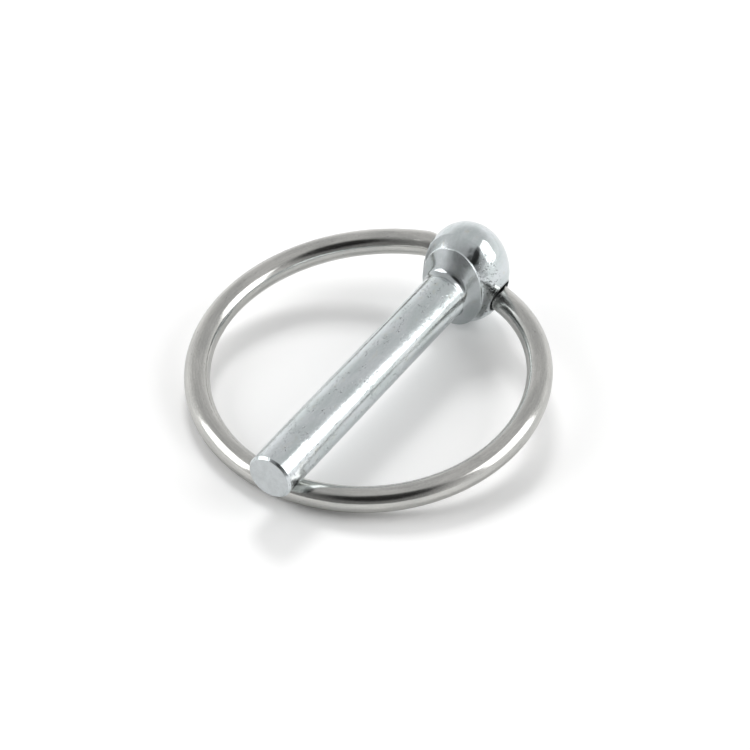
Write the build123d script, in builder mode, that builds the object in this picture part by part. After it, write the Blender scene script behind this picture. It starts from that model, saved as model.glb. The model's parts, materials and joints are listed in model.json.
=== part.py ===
from build123d import *
from math import asin, cos, degrees, hypot, radians, sin, sqrt
import os

# Linch pin: a pin with a shank, a bell-shaped collar and a pressed ball head,
# and a ring of round spring wire whose two ends turn in the head's cross hole.
# It lies as it comes to rest, head and ring on the floor, ring closed under the tip.
# +X runs from the head to the tip, +Z is up. All sizes are in millimetres.

os.makedirs("parts", exist_ok=True)

# Shank
shank_diameter = 6.0
shank_length = 39.0
tip_chamfer = 0.3
tip_draw_in = 0.08
plain_before_ring = 0.6

# Ball head, measured as half sizes from its centre
head_half_length = 5.1
head_half_width = 5.5
head_half_height = 7.0

# Collar behind the shank: a flared bell with a sharp rim, parted from the ball by a groove
collar_sunk = 1.75
collar_rim_land = 0.2
collar_front_drop = 0.9
collar_rim_above_ball = 0.6
collar_rim_beside_ball = 0.1
collar_front_above_shank = 0.85
collar_front_beside_shank = 0.5
groove_depth = 1.1
root_length = 1.65

# Ring of spring wire
wire_diameter = 3.2
wire_end_chamfer = 0.25
wire_end_gap = 0.8
wire_straight_end = 2.6
ring_past_hinge = 0.55
ring_side_shift = 1.76
ring_bend_angle_near = 57.0
ring_bend_angle_far = 66.0

# Cross hole, set at a slant across the ball's flats so that the ring has to twist to swing
hole_slant = 17.5
hole_clearance = 0.53

# How the ring closes
tip_overhang = 2.08
stop_gap = 0.06

shank_radius = shank_diameter / 2
wire_radius = wire_diameter / 2
hole_radius = wire_radius + hole_clearance

# Places along the pin, from the centre of the ball towards the tip
rim_x = head_half_length - collar_sunk
front_x = rim_x + collar_front_drop
shank_x = front_x + root_length
tip_x = shank_x + shank_length

# The ring is a circle that passes a little behind the hinge and ends under the tip
ring_reach = tip_x - tip_overhang - wire_radius
grip_end_x = ring_reach - wire_radius - plain_before_ring
ring_radius = (ring_reach + ring_past_hinge) / 2
ring_centre_distance = ring_radius - ring_past_hinge

# The head rests on the floor and the tip rests on the closed wire
tip_drop = head_half_height - wire_diameter - shank_radius - stop_gap
pin_tilt = degrees(asin(tip_drop / ring_reach))
head_height = hypot(head_half_length * sin(radians(pin_tilt)), head_half_height * cos(radians(pin_tilt)))
ring_tilt = degrees(asin((head_height - wire_radius) / ring_reach))
ring_turn = degrees(asin(ring_side_shift / (ring_centre_distance * cos(radians(ring_tilt)))))

# The origin is on the floor, under the middle of the pin's length and the ring's width
tip_edge_radius = shank_radius - tip_draw_in
tip_face_radius = tip_edge_radius - tip_chamfer
front_reach = tip_x * cos(radians(pin_tilt)) + tip_face_radius * sin(radians(pin_tilt))
back_reach = hypot(head_half_length * cos(radians(pin_tilt)), head_half_height * sin(radians(pin_tilt)))
head_x = (back_reach - front_reach) / 2
head_centre = Vector(head_x, ring_side_shift, head_height)

# Frame of the pin: X along its axis to the tip, Z up through the tall way of the ball
pin_place = Location(head_centre) * Rotation(0, pin_tilt, 0)
pin_frame = Plane(pin_place)
profile_plane = Plane(pin_place * Rotation(90, 0, 0))
hinge_direction = Plane(pin_place * Rotation(-hole_slant, 0, 0)).y_dir

# Frame of the ring: X from the hinge through the ring's centre
ring_frame = Plane(Location(head_centre) * Rotation(0, 0, -ring_turn) * Rotation(0, ring_tilt, 0))


def across(distance):
    """Plane square to the pin's axis, with its own X sideways and its Y upwards"""
    origin = pin_frame.from_local_coords((distance, 0, 0))
    return Plane(origin, x_dir=pin_frame.y_dir, z_dir=pin_frame.x_dir)


def ball_share(distance):
    """How wide the ball is at a distance along the axis, as a share of its middle"""
    return sqrt(1 - (distance / head_half_length) ** 2)


def on_ring(angle):
    """Point on the ring's circle, at an angle from its side nearest the hinge"""
    from_centre = Vector(-cos(radians(angle)), sin(radians(angle))) * ring_radius
    return ring_frame.from_local_coords(Vector(ring_centre_distance, 0) + from_centre)


def along_ring(angle):
    """Direction of the wire at that point, towards larger angles"""
    heading = Vector(sin(radians(angle)), cos(radians(angle)))
    return ring_frame.from_local_coords(heading) - ring_frame.origin


def bend(start, start_direction, end, end_direction):
    """Two arcs that carry the wire smoothly from one direction into another"""
    chord = end - start
    forward = chord.dot(start_direction + end_direction)
    sharpness = 2 * (1 - start_direction.dot(end_direction))
    tangent_length = (sqrt(forward ** 2 + sharpness * chord.dot(chord)) - forward) / sharpness
    corner_one = start + start_direction * tangent_length
    corner_two = end - end_direction * tangent_length
    middle = (corner_one + corner_two) * 0.5
    TangentArc(start, middle, tangent=start_direction)
    TangentArc(middle, end, tangent=corner_two - corner_one)


with BuildPart() as pin:
    # Ball, pressed flat on its two sides
    ball = scale(
        Sphere(1, rotation=(0, 90, 0), mode=Mode.PRIVATE),
        by=(head_half_length, head_half_width, head_half_height),
        mode=Mode.PRIVATE,
    )
    with Locations(pin_frame):
        add(ball)

    # Collar: an undercut back, a narrow rim, a front face that drops inwards and a cone to the shank
    rim_half_width = head_half_width * ball_share(rim_x) + collar_rim_beside_ball
    rim_half_height = head_half_height * ball_share(rim_x) + collar_rim_above_ball
    front_half_width = shank_radius + collar_front_beside_shank
    front_half_height = shank_radius + collar_front_above_shank
    for distance, half_width, half_height in (
        (rim_x - groove_depth, rim_half_width - groove_depth, rim_half_height - groove_depth),
        (rim_x, rim_half_width, rim_half_height),
        (rim_x + collar_rim_land, rim_half_width, rim_half_height),
        (front_x, front_half_width, front_half_height),
        (shank_x, shank_radius, shank_radius),
    ):
        with BuildSketch(across(distance)):
            Ellipse(half_width, half_height)
    loft(ruled=True)

    # Shank, from inside the ball to the flat tip. From a little before the ring's wire
    # it draws in to the tip, so that it enters a hole easily.
    with BuildSketch(profile_plane) as shank_profile:
        with BuildLine() as shank_outline:
            Polyline(
                (0, 0),
                (0, shank_radius),
                (grip_end_x, shank_radius),
                (tip_x - tip_chamfer, tip_edge_radius),
                (tip_x, tip_face_radius),
                (tip_x, 0),
                close=True,
            )
        make_face()
    revolve(axis=Axis(pin_frame.origin, pin_frame.x_dir))

    # Cross hole for the ends of the ring
    with Locations(Plane(head_centre, z_dir=hinge_direction)):
        Cylinder(hole_radius, 2 * (head_half_height + wire_diameter), mode=Mode.SUBTRACT)

pin.part.label = "pin"
export_step(pin.part, "parts/pin.step")


with BuildPart() as ring:
    with BuildLine() as wire_line:
        near_end = head_centre + hinge_direction * (wire_end_gap / 2)
        near_bend = head_centre + hinge_direction * wire_straight_end
        far_bend = head_centre - hinge_direction * wire_straight_end
        far_end = head_centre - hinge_direction * (wire_end_gap / 2)
        far_angle = 360 - ring_bend_angle_far
        Line(near_end, near_bend)
        bend(near_bend, hinge_direction, on_ring(ring_bend_angle_near), along_ring(ring_bend_angle_near))
        ThreePointArc(on_ring(ring_bend_angle_near), on_ring(180), on_ring(far_angle))
        bend(on_ring(far_angle), along_ring(far_angle), far_bend, hinge_direction)
        Line(far_bend, far_end)
    with BuildSketch(Plane(near_end, z_dir=hinge_direction)):
        Circle(wire_radius)
    sweep(path=wire_line.line)
    chamfer(ring.faces().filter_by(GeomType.PLANE).edges(), wire_end_chamfer)

ring.part.label = "ring"
export_step(ring.part, "parts/ring.step")
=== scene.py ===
import json
from math import cos, degrees, pi, radians, sin

import bpy
from bpy.props import FloatProperty, FloatVectorProperty, PointerProperty
from mathutils import Euler, Matrix, Vector
from mathutils.geometry import interpolate_bezier


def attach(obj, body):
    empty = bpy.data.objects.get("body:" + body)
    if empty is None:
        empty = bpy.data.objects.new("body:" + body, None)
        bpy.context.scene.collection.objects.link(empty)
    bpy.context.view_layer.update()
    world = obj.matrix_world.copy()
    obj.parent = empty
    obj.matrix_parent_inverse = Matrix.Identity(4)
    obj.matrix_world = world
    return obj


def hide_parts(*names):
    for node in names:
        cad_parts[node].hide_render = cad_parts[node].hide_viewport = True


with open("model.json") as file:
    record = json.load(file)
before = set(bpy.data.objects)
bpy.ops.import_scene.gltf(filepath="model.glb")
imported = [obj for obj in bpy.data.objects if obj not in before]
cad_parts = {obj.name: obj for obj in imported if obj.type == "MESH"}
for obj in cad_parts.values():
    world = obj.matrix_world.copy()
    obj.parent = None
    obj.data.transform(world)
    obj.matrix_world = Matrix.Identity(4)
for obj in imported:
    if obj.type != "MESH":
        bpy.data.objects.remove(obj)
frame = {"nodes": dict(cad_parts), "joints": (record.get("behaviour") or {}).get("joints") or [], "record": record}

# Finish of a linch pin and of its spring ring, on a pale studio floor.
# The pin is bright zinc plate on its CAD solid. The ring is duller plated spring wire, wound here:
# its ends leave the ring's plane over a longer stretch than the CAD ring's do.

bl_info = {
    "name": "Linch Pin",
    "version": (1, 0, 0),
    "blender": (4, 5, 0),
    "location": "3D View > Sidebar > Linch Pin",
    "description": "Finishes a linch pin and its spring ring and sets a pale studio round them",
    "category": "Object",
}

MM = 0.001
HINGE = frame["joints"][0]
HEAD_CENTRE = Vector(HINGE["pos_m"])
HINGE_DIRECTION = Vector(HINGE["axis"]).normalized()
SHANK_DIRECTION = Vector(frame["record"]["mounts"][0]["axis"]).normalized()
PIN_TURN = SHANK_DIRECTION.to_track_quat("X", "Z")

# Stations along the ring, in degrees from the hinge, then in the bends at its ends, and round the wire
FIRST_ANGLE, LAST_ANGLE, RING_STEPS = 17, 343, 260
END_BEND_POINTS = 14
END_BEND_SHARE = 0.36
WIRE_SIDES = 32

# Where one part of the pin's surface fades into the next, in mm along it from the ball's centre
FLECKS_START = (0.3, 1.1)
BROW_START = (1.35, 1.6)
GROOVE_START = (2.0, 2.6)
BALL_END = (3.3, 3.0)
COLLAR_START = (3.5, 3.62)
COLLAR_CROWN_END = (4.3, 3.5)
COLLAR_HOLLOW_END = (5.9, 4.6)
COLLAR_END = (5.95, 5.85)
SHANK_START = (5.7, 6.3)
TIP_BEFORE_END = (0.06, 0.02)

# The same across the flats, up the tall way, and out from the hinge's axis
BROW_RIGHT = (2.9, 2.0)
BROW_LEFT = (-1.5, -4.0)
BROW_LEFT_GAIN = 0.4
BROW_FOOT = (0.5, 2.0)
FLECKS_RIGHT = (2.6, 3.6)
HAMMERED_RIGHT = (0.6, 2.4)
# How far from the hinge's axis the groove's grime and painted shade reach
GROOVE_DIRT_AND_SHADE_REACH = (4.6, 3.0)
MOUTH_FADE = 0.5

# Marks in the plate: their size in mm along, across and up (on the ring: along, out and square to it),
# how many finer marks lie on them, and how strong those are
PIN_MARKS = {
    "cloud": ((5.0, 1.6, 1.6), 3.0, 0.5),
    "stain": ((1.3, 0.8, 0.8), 4.0, 0.6),
    "grain": ((0.16, 0.22, 0.22), 2.0, 0.6),
    "hairs": ((0.1, 0.35, 0.35), 3.0, 0.6),
    "pits": ((0.3, 0.17, 0.17), 2.0, 0.7),
    "pit_places": ((2.5, 0.9, 0.9), 1.0, 0.5),
    "flecks": ((0.4, 0.3, 0.3), 2.0, 0.7),
    "wave": ((1.5, 1.3, 1.3), 1.0, 0.5),
}
WIRE_MARKS = {
    "cloud": ((7.0, 1.6, 1.6), 3.0, 0.5),
    "drawn": ((3.5, 0.17, 0.17), 2.0, 0.6),
    "grain": ((0.3, 0.13, 0.13), 2.0, 0.6),
    "specks": ((0.5, 0.25, 0.25), 2.0, 0.6),
}

# Levels of a mark's noise at which it starts and is whole
NOISE_SPREAD = (0.25, 0.75)
CLOUD_LEVELS = (0.35, 0.65)
STAIN_LEVELS = (0.58, 0.72)
SHEARED_LEVELS = (0.3, 0.7)
PIT_LEVELS = (0.58, 0.64)
PIT_PLACE_LEVELS = (0.5, 0.58)
FLECK_LEVELS = (0.56, 0.64)
SPECK_LEVELS = (0.68, 0.76)

# How light the marks are beside the plate, and how much of the plate the yellow stains cover
GRAIN_TONES = (0.96, 1.03)
SHEARED_TONES = (0.93, 1.05)
WIRE_TONES = (0.94, 1.04)
DENT_TONE, SPECK_TONE = 0.4, 0.6
YELLOWED_SHARE = 0.35

# Roughness of the plate, and what dents and dirt add to it
PIN_ROUGHNESS = (0.1, 0.16)
WIRE_ROUGHNESS = (0.13, 0.2)
COLLAR_ROUGHNESS, TIP_ROUGHNESS = 0.18, 0.38
DENT_ROUGHNESS, DIRT_ROUGHNESS = 0.3, 0.2

# Heights of the marks in mm, the shares of the wave on all of the pin and more on its hammered side,
# and how far a drawn hair turns the surface
WAVE_HEIGHT, GRAIN_HEIGHT, DENT_DEPTH = 0.05, 0.003, 0.015
PLAIN_WAVE, HAMMERED_WAVE = 0.35, 1.3
DRAWN_HEIGHT, WIRE_GRAIN_HEIGHT = 0.003, 0.0014
HAIR_TURN = 0.055

# Soft lamps: azimuth, elevation, width, height, radiance, and whether the metal mirrors them
LAMP_DISTANCE = 0.7
LAMPS = {
    "softbox_left": (205.0, 32.0, 0.46, 0.53, 2.2, True),
    "softbox_right": (34.0, 30.0, 0.4, 0.48, 2.5, True),
    "back_lamp": (309.0, 50.0, 0.2, 0.2, 12.5, False),
}

# Where the room is darker: how high up, and the ways to the camera's side and to the card, as azimuth and
# elevation, with the cosines of the angles from them at which the dark starts and is whole
HEIGHT_FADE = (0.0, 0.75)
CAMERA_SIDE, CAMERA_SIDE_FADE = (112, 15), (0.3, 0.95)
CARD, CARD_FADE = (124, 49), (0.87, 0.965)

# The floor as the camera sees it and as all other rays do
FLOOR_SEEN = (1.05, 1.05, 1.048, 1.0)
FLOOR_LIT = (0.9, 0.9, 0.9, 1.0)


def direction(azimuth, elevation):
    """Direction from the object: azimuth 0 is -Y and 90 is +X, elevation is above the floor, in degrees"""
    turn, rise = radians(azimuth), radians(elevation)
    return Vector((sin(turn) * cos(rise), -cos(turn) * cos(rise), sin(rise)))


class NodeBench:
    """Adds shader nodes to a tree: inputs are given as values or as the sockets that feed them"""

    def __init__(self, tree):
        self.tree = tree
        tree.nodes.clear()

    def add(self, kind, inputs=None, output=0, **settings):
        """Adds a node and returns one of its outputs"""
        node = self.tree.nodes.new(kind)
        for name, value in settings.items():
            setattr(node, name, value)
        for name, value in (inputs or {}).items():
            self.feed(node.inputs[name], value)
        return node.outputs[output] if len(node.outputs) else node

    def feed(self, socket, value):
        """Sets an input, or links it where the value is another node's output"""
        if isinstance(value, bpy.types.NodeSocket):
            self.tree.links.new(value, socket)
        else:
            socket.default_value = value

    def math(self, operation, first, second=0.0, third=0.0):
        return self.add("ShaderNodeMath", {0: first, 1: second, 2: third}, operation=operation)

    def product(self, first, *others):
        """Several values multiplied"""
        for other in others:
            first = self.math("MULTIPLY", first, other)
        return first

    def vector_math(self, operation, first, second=(0, 0, 0), output=0):
        return self.add("ShaderNodeVectorMath", {0: first, 1: second}, output, operation=operation)

    def parts(self, vector):
        """The X, Y and Z of a vector"""
        return [self.add("ShaderNodeSeparateXYZ", {0: vector}, axis) for axis in "XYZ"]

    def ramp(self, value, low, high, result_low=0.0, result_high=1.0):
        """Smooth step from one result to another as a value goes from low to high"""
        inputs = {
            "Value": value,
            "From Min": low,
            "From Max": high,
            "To Min": result_low,
            "To Max": result_high,
        }
        return self.add("ShaderNodeMapRange", inputs, interpolation_type="SMOOTHSTEP")

    def between(self, share, first, last):
        """Smooth step from one result to another as a share goes from 0 to 1"""
        return self.ramp(share, 0.0, 1.0, first, last)

    def place_from(self, centre, turned):
        """Place on the object in mm, from a centre and along turned axes"""
        position = self.add("ShaderNodeTexCoord", output="Object")
        inputs = {"Vector": position, "Location": centre, "Rotation": turned, "Scale": (MM, MM, MM)}
        return self.add("ShaderNodeMapping", inputs, vector_type="TEXTURE")

    def marks(self, place, lengths, detail, roughness):
        """Noise whose grains have a length of their own along each axis"""
        inputs = {
            "Vector": self.vector_math("DIVIDE", place, lengths),
            "Scale": 1.0,
            "Detail": detail,
            "Roughness": roughness,
        }
        return self.add("ShaderNodeTexNoise", inputs)

    def blend(self, share, first, second):
        """Mixes two colours"""
        node = self.tree.nodes.new("ShaderNodeMix")
        node.data_type = "RGBA"
        self.feed(node.inputs[0], share)
        self.feed(node.inputs[6], first)
        self.feed(node.inputs[7], second)
        return node.outputs[2]

    def toned(self, vector, tone):
        """A colour made lighter or darker, or a vector made longer or shorter, by a factor"""
        scaled = self.vector_math("SCALE", vector)
        self.feed(scaled.node.inputs["Scale"], tone)
        return scaled

    def turned(self, share, first, second):
        """A direction turned by a share of the way from one to another"""
        node = self.tree.nodes.new("ShaderNodeMix")
        node.data_type = "VECTOR"
        self.feed(node.inputs[0], share)
        self.feed(node.inputs[4], first)
        self.feed(node.inputs[5], second)
        return self.vector_math("NORMALIZE", node.outputs[1])

    def turned_with_object(self, way):
        """A direction fixed to the object, as a world direction"""
        settings = {"vector_type": "VECTOR", "convert_from": "OBJECT", "convert_to": "WORLD"}
        return self.add("ShaderNodeVectorTransform", {"Vector": way}, **settings)

    def bump(self, height, distance, normal=None):
        """Surface raised by a height from 0 to 1 of a distance in mm"""
        inputs = {"Height": height, "Distance": distance * MM, "Strength": 1.0}
        if normal is not None:
            inputs["Normal"] = normal
        return self.add("ShaderNodeBump", inputs)


def new_material(name):
    material = bpy.data.materials.new(name)
    material.use_nodes = True
    return material, NodeBench(material.node_tree)


def finish_metal(bench, colour, roughness, normal):
    inputs = {"Base Color": colour, "Metallic": 1.0, "Roughness": roughness, "Normal": normal}
    shader = bench.add("ShaderNodeBsdfPrincipled", inputs)
    bench.add("ShaderNodeOutputMaterial", {"Surface": shader})


def ring_frame(settings):
    """Where the ring's circle lies: its turn, with X away from the hinge, and its centre"""
    turned = Euler((0.0, settings.tilt, -settings.turn))
    reach = settings.radius - settings.past_hinge
    return turned, HEAD_CENTRE + turned.to_matrix() @ Vector((reach, 0.0, 0.0))


def along_wire(bench, settings):
    """Place on the ring in mm: X round it, Y outwards from the wire's centre line, Z square to the ring"""
    turned, centre = ring_frame(settings)
    x, y, z = bench.parts(bench.place_from(centre, turned))
    radius = settings.radius / MM
    reach = bench.math("SQRT", bench.math("MULTIPLY_ADD", x, x, bench.math("MULTIPLY", y, y)))
    inputs = {
        "X": bench.math("MULTIPLY", bench.math("ARCTAN2", y, x), radius),
        "Y": bench.math("SUBTRACT", reach, radius),
        "Z": z,
    }
    return bench.add("ShaderNodeCombineXYZ", inputs)


class ZincPlate:
    """Bright zinc over forged steel: glossy ball, finely drawn and pitted shank, matt sheared tip.

    Its places are in mm: X from the ball's centre to the tip, Y across the flats, Z up the tall way.
    """

    def __init__(self, settings):
        self.settings = settings
        self.material, self.bench = new_material("zinc_plate")
        bench = self.bench
        self.place = bench.place_from(HEAD_CENTRE, PIN_TURN.to_euler())
        self.x, self.y, self.z = bench.parts(self.place)
        tip_start, tip_whole = (settings.tip_distance / MM - before for before in TIP_BEFORE_END)
        self.on_ball = bench.ramp(self.x, *BALL_END)
        self.on_collar = bench.product(bench.ramp(self.x, *COLLAR_START), bench.ramp(self.x, *COLLAR_END))
        self.on_shank = bench.ramp(self.x, *SHANK_START)
        self.on_tip = bench.ramp(self.x, tip_start, tip_whole)
        self.marks = {name: bench.marks(self.place, *look) for name, look in PIN_MARKS.items()}
        self.dents = self.find_dents()
        self.dirt_and_shade_mask = self.find_dirt_and_shade()
        finish_metal(bench, self.colour(), self.roughness(), self.normal())

    def find_dents(self):
        """Pits in patches along the shank, and flecks on the ball beside the cross hole"""
        bench, marks = self.bench, self.marks
        pit_places = bench.ramp(marks["pit_places"], *PIT_PLACE_LEVELS)
        pits = bench.product(bench.ramp(marks["pits"], *PIT_LEVELS), pit_places, self.on_shank)
        fleck_places = bench.product(
            bench.ramp(self.x, *FLECKS_START), self.on_ball, bench.ramp(self.y, *FLECKS_RIGHT),
        )
        flecks = bench.product(bench.ramp(marks["flecks"], *FLECK_LEVELS), fleck_places)
        return bench.math("MAXIMUM", pits, flecks)

    def find_dirt_and_shade(self):
        """Where grime and painted shade darken the plate: the mouths of the cross hole, and the groove near them
        """
        bench = self.bench
        beside_hinge = bench.vector_math("CROSS_PRODUCT", self.place, PIN_TURN.inverted() @ HINGE_DIRECTION)
        beside_hinge = bench.vector_math("LENGTH", beside_hinge, output="Value")
        mouth_reach = self.settings.mouth_reach / MM
        # A dark ring of painted shade and grime round each mouth of the cross hole
        mouth = bench.product(bench.ramp(beside_hinge, mouth_reach, mouth_reach - MOUTH_FADE), self.on_ball)
        near_hole = bench.ramp(beside_hinge, *GROOVE_DIRT_AND_SHADE_REACH)
        # Painted shade and grime in the groove between the collar and the ball, near the hole
        groove = bench.product(bench.ramp(self.x, *GROOVE_START), self.on_ball, near_hole)
        return bench.math("MAXIMUM", groove, mouth)

    def colour(self):
        """Zinc with cleaner clouds, yellow stains and fine grain, darker in dents and on the collar, and darkened
        in the groove and the hole's mouths by grime with painted shade
        """
        bench, marks, settings = self.bench, self.marks, self.settings
        colour = bench.blend(bench.ramp(marks["cloud"], *CLOUD_LEVELS), settings.zinc, settings.zinc_light)
        yellowed = bench.product(bench.ramp(marks["stain"], *STAIN_LEVELS), YELLOWED_SHARE)
        colour = bench.blend(yellowed, colour, settings.zinc_yellowed)
        tone = bench.product(
            bench.ramp(marks["grain"], *NOISE_SPREAD, *GRAIN_TONES),
            bench.between(self.dents, 1.0, DENT_TONE),
            bench.between(self.on_collar, 1.0, settings.collar_tone),
        )
        sheared_tone = bench.ramp(marks["stain"], *SHEARED_LEVELS, *SHEARED_TONES)
        sheared = bench.toned(settings.sheared_face[:3], sheared_tone)
        colour = bench.blend(self.on_tip, bench.toned(colour, tone), sheared)
        # Painted shade together with grime: the groove and the hole's mouths are blended towards the dark colour
        return bench.blend(bench.product(self.dirt_and_shade_mask, settings.dirt_and_shade_share), colour, settings.dirt_and_shade)

    def roughness(self):
        """Glossy, with a softer collar, duller dents and dirt, and a matt tip"""
        bench = self.bench
        roughness = bench.ramp(self.marks["grain"], *NOISE_SPREAD, *PIN_ROUGHNESS)
        roughness = bench.math("MAXIMUM", roughness, bench.product(self.on_collar, COLLAR_ROUGHNESS))
        roughness = bench.math("MULTIPLY_ADD", self.dents, DENT_ROUGHNESS, roughness)
        roughness = bench.math("MULTIPLY_ADD", self.dirt_and_shade_mask, DIRT_ROUGHNESS, roughness)
        return bench.math("MAXIMUM", roughness, bench.between(self.on_tip, 0.0, TIP_ROUGHNESS))

    def normal(self):
        """Small forms of the surface: rounded edges, brow, collar's hollow, waves, hairs, grain and dents"""
        bench, marks = self.bench, self.marks
        rounded = bench.add("ShaderNodeBevel", {"Radius": self.settings.edge_radius}, samples=6)
        normal = self.with_brow(rounded)
        forwards = bench.turned_with_object(SHANK_DIRECTION)
        along = bench.vector_math("DOT_PRODUCT", normal, forwards, "Value")
        outwards = bench.vector_math("SUBTRACT", normal, bench.toned(forwards, along))
        outwards = bench.vector_math("NORMALIZE", outwards)
        normal = self.with_collar(normal, forwards, outwards)

        hammered = bench.product(self.on_ball, bench.ramp(self.y, *HAMMERED_RIGHT))
        wave_share = bench.math("MULTIPLY_ADD", hammered, HAMMERED_WAVE, PLAIN_WAVE)
        wave = bench.product(marks["wave"], wave_share)
        normal = bench.bump(wave, WAVE_HEIGHT, normal)

        round_pin = bench.vector_math("CROSS_PRODUCT", forwards, outwards)
        hairs = bench.ramp(marks["hairs"], *NOISE_SPREAD, -HAIR_TURN, HAIR_TURN)
        ragged = bench.product(hairs, self.on_shank)
        normal = bench.vector_math("ADD", normal, bench.toned(round_pin, ragged))
        normal = bench.bump(marks["grain"], GRAIN_HEIGHT, bench.vector_math("NORMALIZE", normal))
        return bench.bump(bench.product(self.dents, -1.0), DENT_DEPTH, normal)

    def with_brow(self, normal):
        """The ball's brow, flattened above the collar"""
        bench = self.bench
        gain = bench.ramp(self.y, *BROW_LEFT, 0.0, BROW_LEFT_GAIN)
        flatness = bench.math("ADD", bench.ramp(self.y, *BROW_RIGHT), gain)
        brow = bench.product(
            self.on_ball, bench.ramp(self.x, *BROW_START), bench.ramp(self.z, *BROW_FOOT),
            bench.product(flatness, self.settings.brow_flatness),
        )
        return bench.turned(brow, normal, bench.turned_with_object(self.settings.brow_direction))

    def with_collar(self, normal, forwards, outwards):
        """The collar's front, hollow towards the shank and a little rounded at the rim"""
        bench, settings = self.bench, self.settings
        hollow = bench.ramp(self.x, *COLLAR_HOLLOW_END, 0.0, settings.collar_hollow)
        crown = bench.ramp(self.x, *COLLAR_CROWN_END, 0.0, settings.collar_crown)
        slope = bench.math("SUBTRACT", hollow, crown)
        across = bench.toned(outwards, bench.math("COSINE", slope))
        ahead = bench.toned(forwards, bench.math("SINE", slope))
        return bench.turned(self.on_collar, normal, bench.vector_math("ADD", across, ahead))


def spring_wire_plate(settings):
    """Duller, warmer plate over drawn spring wire, with faint marks along the wire"""
    material, bench = new_material("spring_wire_plate")
    place = along_wire(bench, settings)
    marks = {name: bench.marks(place, *look) for name, look in WIRE_MARKS.items()}
    colour = bench.blend(bench.ramp(marks["cloud"], *CLOUD_LEVELS), settings.wire, settings.wire_light)
    tone = bench.product(
        bench.ramp(marks["grain"], *NOISE_SPREAD, *WIRE_TONES),
        bench.ramp(marks["drawn"], *NOISE_SPREAD, *WIRE_TONES),
        bench.between(bench.ramp(marks["specks"], *SPECK_LEVELS), 1.0, SPECK_TONE),
    )
    roughness = bench.ramp(marks["grain"], *NOISE_SPREAD, *WIRE_ROUGHNESS)
    normal = bench.bump(marks["drawn"], DRAWN_HEIGHT)
    normal = bench.bump(marks["grain"], WIRE_GRAIN_HEIGHT, normal)
    finish_metal(bench, bench.toned(colour, tone), roughness, normal)
    return material


def ring_point(settings, angle):
    """Point of the wire's centre line, at an angle in degrees round the ring from the hinge.

    The wire lies in a plane for most of its way. Towards the hinge it winds gently out of that plane,
    down to the cross hole on its +Y side and up to it on the other.
    """
    turned, centre = ring_frame(settings)
    near_side = angle < 180
    from_hinge = angle if near_side else 360 - angle
    start, mouth = degrees(settings.wind_start), degrees(settings.hole_angle)
    share = max(0.0, (start - from_hinge) / (start - mouth))
    offset = (-settings.wind_down if near_side else settings.wind_up) * share ** settings.wind_power
    flat = Vector((-cos(radians(angle)), sin(radians(angle)), 0.0)) * settings.radius
    return centre + turned.to_matrix() @ (flat + Vector((0.0, 0.0, offset)))


def wire_line(settings):
    """The wire's centre line, from its end in one mouth of the cross hole round to its end in the other"""
    round_ring = LAST_ANGLE - FIRST_ANGLE
    angles = [FIRST_ANGLE + round_ring * step / RING_STEPS for step in range(RING_STEPS + 1)]
    line = [ring_point(settings, angle) for angle in angles]
    ends = []
    for side, angle, neighbour in ((1, FIRST_ANGLE, FIRST_ANGLE + 1), (-1, LAST_ANGLE, LAST_ANGLE - 1)):
        in_hole = HEAD_CENTRE + HINGE_DIRECTION * side * settings.straight_end
        outside = ring_point(settings, angle)
        heading = (ring_point(settings, neighbour) - outside).normalized()
        reach = (outside - in_hole).length * END_BEND_SHARE
        handles = (in_hole + HINGE_DIRECTION * side * reach, outside - heading * reach)
        bend = interpolate_bezier(in_hole, *handles, outside, END_BEND_POINTS)
        ends.append([HEAD_CENTRE + HINGE_DIRECTION * side * settings.end_gap / 2] + bend[:-1])
    return ends[0] + line + ends[1][::-1]


def round_wire(name, line, radius, chamfer, sides):
    """A round bar along a line, with its two ends chamfered and closed"""
    first, last = (line[1] - line[0]).normalized(), (line[-1] - line[-2]).normalized()
    stations = [line[0], line[0] + first * chamfer, *line[1:-1], line[-1] - last * chamfer, line[-1]]
    radii = [radius - chamfer] + [radius] * (len(stations) - 2) + [radius - chamfer]
    across = first.orthogonal().normalized()
    vertices = []
    for index, (station, reach) in enumerate(zip(stations, radii)):
        before, after = stations[max(index - 1, 0)], stations[min(index + 1, len(stations) - 1)]
        heading = (after - before).normalized()
        across = (across - heading * across.dot(heading)).normalized()
        beside = heading.cross(across)
        for step in range(sides):
            angle = 2 * pi * step / sides
            vertices.append(station + (across * cos(angle) + beside * sin(angle)) * reach)
    faces = []
    for start in range(0, sides * (len(stations) - 1), sides):
        for step in range(sides):
            following = (step + 1) % sides
            faces.append((start + step, start + following, start + sides + following, start + sides + step))
    faces.append(tuple(reversed(range(sides))))
    faces.append(tuple(range(sides * (len(stations) - 1), sides * len(stations))))
    mesh = bpy.data.meshes.new(name)
    mesh.from_pydata(vertices, [], faces)
    mesh.shade_smooth()
    for face in mesh.polygons:
        if len(face.vertices) > 4:
            face.use_smooth = False
    bar = bpy.data.objects.new(name, mesh)
    bpy.context.scene.collection.objects.link(bar)
    return bar


def dress(node_name, material):
    """Gives a CAD node its finished material"""
    mesh = frame["nodes"][node_name].data
    mesh.materials.clear()
    mesh.materials.append(material)


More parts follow.
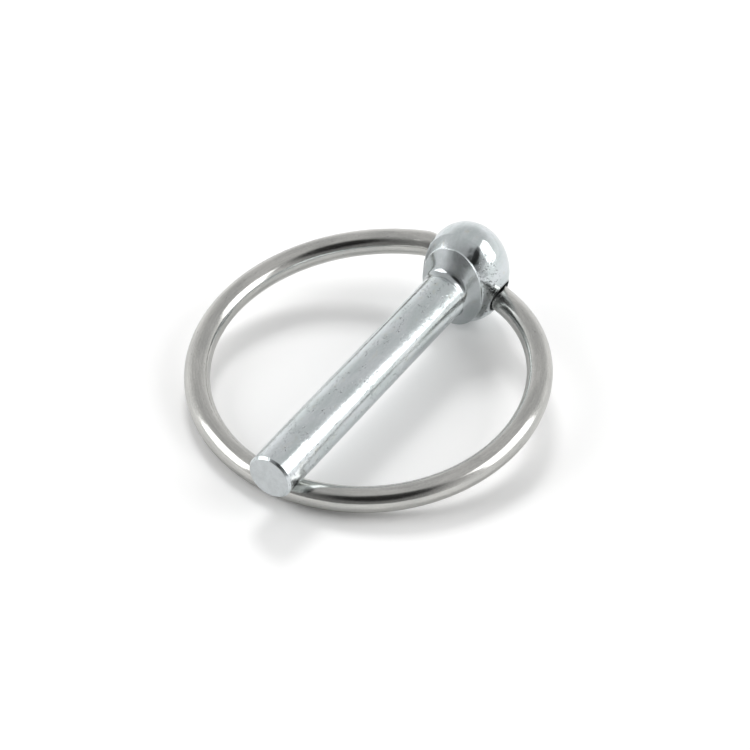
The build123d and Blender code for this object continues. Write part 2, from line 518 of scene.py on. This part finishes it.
class LinchPinFinish(bpy.types.PropertyGroup):
    """Colours and small forms of the pin's plate"""

    zinc: FloatVectorProperty(
        name="Zinc", description="Plate on most of the pin", subtype="COLOR", size=4,
        default=(0.66, 0.715, 0.72, 1.0), min=0.0, max=1.0,
    )
    zinc_light: FloatVectorProperty(
        name="Light zinc", description="Plate where it is a little cleaner", subtype="COLOR", size=4,
        default=(0.74, 0.78, 0.80, 1.0), min=0.0, max=1.0,
    )
    zinc_yellowed: FloatVectorProperty(
        name="Yellowed zinc", description="Thin stains in the plate", subtype="COLOR", size=4,
        default=(0.70, 0.69, 0.58, 1.0), min=0.0, max=1.0,
    )
    sheared_face: FloatVectorProperty(
        name="Sheared face", description="Flat end of the shank, cut and then plated",
        subtype="COLOR", size=4, default=(0.60, 0.63, 0.64, 1.0), min=0.0, max=1.0,
    )
    # Dark colour of the grime and painted shade in the hole's mouths and the groove
    dirt_and_shade: FloatVectorProperty(
        name="Dirt", description="Dark oil and dust in the hole's mouths and the groove",
        subtype="COLOR", size=4, default=(0.06, 0.06, 0.058, 1.0), min=0.0, max=1.0,
    )
    # How far the groove and the mouths are blended to that dark colour, grime and painted shade together
    dirt_and_shade_share: FloatProperty(
        name="Groove dirt", description="How thick the dirt is", subtype="FACTOR",
        default=0.7, min=0.0, max=1.0,
    )
    # How far the mouths' grime and painted shade reach from the hole's middle
    mouth_reach: FloatProperty(
        name="Mouth reach", description="How far from the cross hole's middle its mouths are dirty",
        subtype="DISTANCE", default=0.0025, min=0.001, max=0.01, unit="LENGTH", precision=5,
    )
    tip_distance: FloatProperty(
        name="Tip distance", description="From the ball's centre to the flat end", subtype="DISTANCE",
        default=0.0449, min=0.001, max=0.2, unit="LENGTH",
    )
    edge_radius: FloatProperty(
        name="Edge radius", description="How round the sharp edges shine", subtype="DISTANCE",
        default=0.00012, min=0.0, max=0.001, unit="LENGTH", precision=5,
    )
    brow_direction: FloatVectorProperty(
        name="Brow direction", description="Way that the flattened brow of the ball faces",
        subtype="DIRECTION", default=(0.56, 0.10, 0.82),
    )
    collar_tone: FloatProperty(
        name="Collar tone", description="How light the plate is on the collar's front", subtype="FACTOR",
        default=0.72, min=0.0, max=1.0,
    )
    collar_hollow: FloatProperty(
        name="Collar hollow", description="How steep the collar's front gets from the shank",
        subtype="ANGLE", default=radians(63), min=0.0, max=radians(90),
    )
    collar_crown: FloatProperty(
        name="Collar crown", description="How much the collar's front rounds over to its rim",
        subtype="ANGLE", default=radians(3), min=0.0, max=radians(60),
    )
    brow_flatness: FloatProperty(
        name="Brow flatness", description="How flat the ball is just above the collar", subtype="FACTOR",
        default=0.62, min=0.0, max=1.0,
    )


class LinchPinRingFinish(bpy.types.PropertyGroup):
    """Colours of the ring's plate, and the shape of its wire"""

    wire: FloatVectorProperty(
        name="Wire", description="Plate on most of the ring", subtype="COLOR", size=4,
        default=(0.54, 0.54, 0.52, 1.0), min=0.0, max=1.0,
    )
    wire_light: FloatVectorProperty(
        name="Light wire", description="Plate where it is a little brighter", subtype="COLOR", size=4,
        default=(0.64, 0.635, 0.61, 1.0), min=0.0, max=1.0,
    )
    wire_radius: FloatProperty(
        name="Wire radius", description="Of the round spring wire", subtype="DISTANCE",
        default=0.0016, min=0.0005, max=0.01, unit="LENGTH", precision=5,
    )
    end_chamfer: FloatProperty(
        name="End chamfer", description="On the wire's two ends, inside the ball", subtype="DISTANCE",
        default=0.00025, min=0.0, max=0.001, unit="LENGTH", precision=5,
    )
    end_gap: FloatProperty(
        name="End gap", description="Between the wire's two ends, inside the ball", subtype="DISTANCE",
        default=0.0008, min=0.0, max=0.01, unit="LENGTH", precision=5,
    )
    straight_end: FloatProperty(
        name="Straight end", description="From the ball's centre to where the wire starts to bend",
        subtype="DISTANCE", default=0.0026, min=0.001, max=0.01, unit="LENGTH", precision=5,
    )
    wind_up: FloatProperty(
        name="Wind up", description="How far the wire leaves the ring's plane upwards at the ball",
        subtype="DISTANCE", default=0.00195, min=0.0, max=0.01, unit="LENGTH", precision=5,
    )
    wind_down: FloatProperty(
        name="Wind down", description="How far the wire leaves the ring's plane downwards at the ball",
        subtype="DISTANCE", default=0.0016, min=0.0, max=0.01, unit="LENGTH", precision=5,
    )
    wind_start: FloatProperty(
        name="Wind start", description="Round the ring from the hinge to where it leaves its plane",
        subtype="ANGLE", default=radians(105), min=radians(20), max=radians(180),
    )
    wind_power: FloatProperty(
        name="Wind power", description="How much of the winding is close to the ball",
        default=2.5, min=1.0, max=8.0,
    )
    hole_angle: FloatProperty(
        name="Hole angle", description="Round the ring from the hinge to the mouths of the cross hole",
        subtype="ANGLE", default=radians(14), min=radians(5), max=radians(30),
    )
    radius: FloatProperty(
        name="Radius", description="Of the wire's centre line", subtype="DISTANCE",
        default=0.020885, min=0.001, max=0.2, unit="LENGTH", precision=5,
    )
    past_hinge: FloatProperty(
        name="Past the hinge", description="From the hinge back to the ring's circle", subtype="DISTANCE",
        default=0.00055, min=0.0, max=0.01, unit="LENGTH", precision=5,
    )
    tilt: FloatProperty(
        name="Tilt", description="Slope of the closed ring down to the tip", subtype="ANGLE",
        default=radians(7.527),
    )
    turn: FloatProperty(
        name="Turn", description="Turn of the closed ring about the upright", subtype="ANGLE",
        default=radians(5.008),
    )


class LinchPinStudio(bpy.types.PropertyGroup):
    """Camera, floor and surroundings"""

    camera_azimuth: FloatProperty(
        name="Camera azimuth", description="Round the object, a right angle is +X", subtype="ANGLE",
        default=radians(119.74),
    )
    camera_elevation: FloatProperty(
        name="Camera elevation", description="Above the floor", subtype="ANGLE", default=radians(41.297),
    )
    camera_roll: FloatProperty(
        name="Camera roll", description="Turn about the view", subtype="ANGLE", default=radians(3.437),
    )
    camera_distance: FloatProperty(
        name="Camera distance", description="From the point that it looks at", subtype="DISTANCE",
        default=0.420054, min=0.05, max=5.0, unit="LENGTH",
    )
    looked_at: FloatVectorProperty(
        name="Looked at", description="Point that the camera looks at", subtype="TRANSLATION",
        default=(-0.000728, 0.000488, 0.002999), unit="LENGTH", precision=6,
    )
    lens: FloatProperty(
        name="Lens", description="Focal length in millimetres", default=164.95, min=10.0, max=500.0,
    )
    floor_size: FloatProperty(
        name="Floor size", description="Side of the floor", subtype="DISTANCE",
        default=4.0, min=0.5, max=20.0, unit="LENGTH",
    )
    horizon_level: FloatProperty(
        name="Horizon level", description="How light the room is at the horizon",
        default=1.0, min=0.0, max=1.0,
    )
    overhead_level: FloatProperty(
        name="Overhead level", description="How light the room is overhead",
        default=0.6, min=0.0, max=1.0,
    )
    camera_side_level: FloatProperty(
        name="Camera side level", description="How much of the room's light is left behind the camera",
        subtype="FACTOR", default=0.25, min=0.0, max=1.0,
    )
    card_level: FloatProperty(
        name="Card level", description="How much of the room's light the dark card above the camera leaves",
        subtype="FACTOR", default=0.12, min=0.0, max=1.0,
    )


class LINCHPIN_OT_pin(bpy.types.Operator):
    """Plates the pin"""

    bl_idname = "linchpin.pin"
    bl_label = "Pin"

    def execute(self, context):
        dress("pin", ZincPlate(context.scene.linch_pin_finish).material)
        return {"FINISHED"}


class LINCHPIN_OT_ring(bpy.types.Operator):
    """Winds the ring's wire and plates it"""

    bl_idname = "linchpin.ring"
    bl_label = "Ring"

    def execute(self, context):
        settings = context.scene.linch_pin_ring
        line = wire_line(settings)
        wire = round_wire("ring_wire", line, settings.wire_radius, settings.end_chamfer, WIRE_SIDES)
        wire.data.materials.append(spring_wire_plate(settings))
        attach(wire, "ring")
        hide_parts("ring")
        return {"FINISHED"}


class LINCHPIN_OT_studio(bpy.types.Operator):
    """Sets the floor, the lamps, the surroundings and the camera"""

    bl_idname = "linchpin.studio"
    bl_label = "Studio"

    def execute(self, context):
        settings = context.scene.linch_pin_studio
        make_floor(settings)
        make_surroundings(context.scene, settings)
        for name, place_and_size in LAMPS.items():
            make_lamp(name, *place_and_size)
        make_camera(context.scene, settings)
        context.scene.view_settings.view_transform = "Standard"
        return {"FINISHED"}


def make_floor(settings):
    half = settings.floor_size / 2
    corners = [(-half, -half, 0), (half, -half, 0), (half, half, 0), (-half, half, 0)]
    mesh = bpy.data.meshes.new("floor")
    mesh.from_pydata(corners, [], [(0, 1, 2, 3)])
    floor = bpy.data.objects.new("floor", mesh)
    bpy.context.scene.collection.objects.link(floor)
    material, bench = new_material("pale_floor")
    seen = bench.add("ShaderNodeLightPath", output="Is Camera Ray")
    surface = bench.add("ShaderNodeBsdfDiffuse", {"Color": bench.blend(seen, FLOOR_LIT, FLOOR_SEEN)})
    bench.add("ShaderNodeOutputMaterial", {"Surface": surface})
    mesh.materials.append(material)


def make_surroundings(scene, settings):
    """A pale room that darkens overhead and on the camera's side, where a dark card hangs"""
    world = bpy.data.worlds.new("pale_room")
    world.use_nodes = True
    bench = NodeBench(world.node_tree)
    ray = bench.add("ShaderNodeTexCoord", output="Generated")
    height = bench.add("ShaderNodeSeparateXYZ", {0: ray}, "Z")
    camera_side = bench.vector_math("DOT_PRODUCT", ray, direction(*CAMERA_SIDE), "Value")
    card = bench.vector_math("DOT_PRODUCT", ray, direction(*CARD), "Value")
    level = bench.product(
        bench.ramp(height, *HEIGHT_FADE, settings.horizon_level, settings.overhead_level),
        bench.ramp(camera_side, *CAMERA_SIDE_FADE, 1.0, settings.camera_side_level),
        bench.ramp(card, *CARD_FADE, 1.0, settings.card_level),
    )
    background = bench.add("ShaderNodeBackground", {"Color": (1.0, 1.0, 1.0, 1.0), "Strength": level})
    bench.add("ShaderNodeOutputWorld", {"Surface": background})
    scene.world = world


def make_lamp(name, azimuth, elevation, width, height, radiance, mirrored):
    """A soft rectangular lamp that faces the object and isn't in the picture itself"""
    light = bpy.data.lights.new(name, "AREA")
    light.shape = "RECTANGLE"
    light.size = width
    light.size_y = height
    light.energy = radiance * pi * width * height
    lamp = bpy.data.objects.new(name, light)
    bpy.context.scene.collection.objects.link(lamp)
    away = direction(azimuth, elevation)
    lamp.location = away * LAMP_DISTANCE
    lamp.rotation_euler = (-away).to_track_quat("-Z", "Y").to_euler()
    lamp.visible_camera = False
    lamp.visible_glossy = mirrored


def make_camera(scene, settings):
    back = direction(degrees(settings.camera_azimuth), degrees(settings.camera_elevation))
    level_right = Vector((0, 0, 1)).cross(back).normalized()
    level_up = back.cross(level_right)
    roll = settings.camera_roll
    right = level_right * cos(roll) + level_up * sin(roll)
    up = level_up * cos(roll) - level_right * sin(roll)
    camera = bpy.data.objects.new("camera", bpy.data.cameras.new("camera"))
    camera.data.lens = settings.lens
    camera.data.sensor_width = 36.0
    camera.data.clip_start = 0.01
    camera.data.clip_end = 10.0
    place = Matrix((right, up, back)).transposed().to_4x4()
    place.translation = Vector(settings.looked_at) + back * settings.camera_distance
    camera.matrix_world = place
    scene.collection.objects.link(camera)
    scene.camera = camera


class LINCHPIN_PT_panel(bpy.types.Panel):
    """Lists the steps of the model"""

    bl_idname = "LINCHPIN_PT_panel"
    bl_label = "Linch Pin"
    bl_space_type = "VIEW_3D"
    bl_region_type = "UI"
    bl_category = "Linch Pin"

    def draw(self, context):
        for step in STEPS:
            self.layout.operator(step.bl_idname)


STEPS = (LINCHPIN_OT_pin, LINCHPIN_OT_ring, LINCHPIN_OT_studio)
SETTINGS = {
    "linch_pin_finish": LinchPinFinish,
    "linch_pin_ring": LinchPinRingFinish,
    "linch_pin_studio": LinchPinStudio,
}


def register():
    for kind in (*SETTINGS.values(), *STEPS, LINCHPIN_PT_panel):
        bpy.utils.register_class(kind)
    for name, kind in SETTINGS.items():
        setattr(bpy.types.Scene, name, PointerProperty(type=kind))


def unregister():
    for name in SETTINGS:
        delattr(bpy.types.Scene, name)
    for kind in reversed((*SETTINGS.values(), *STEPS, LINCHPIN_PT_panel)):
        bpy.utils.unregister_class(kind)


def main():
    register()
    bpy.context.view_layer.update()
    bpy.ops.linchpin.pin()
    bpy.ops.linchpin.ring()
    bpy.ops.linchpin.studio()


if __name__ == "__main__":
    main()
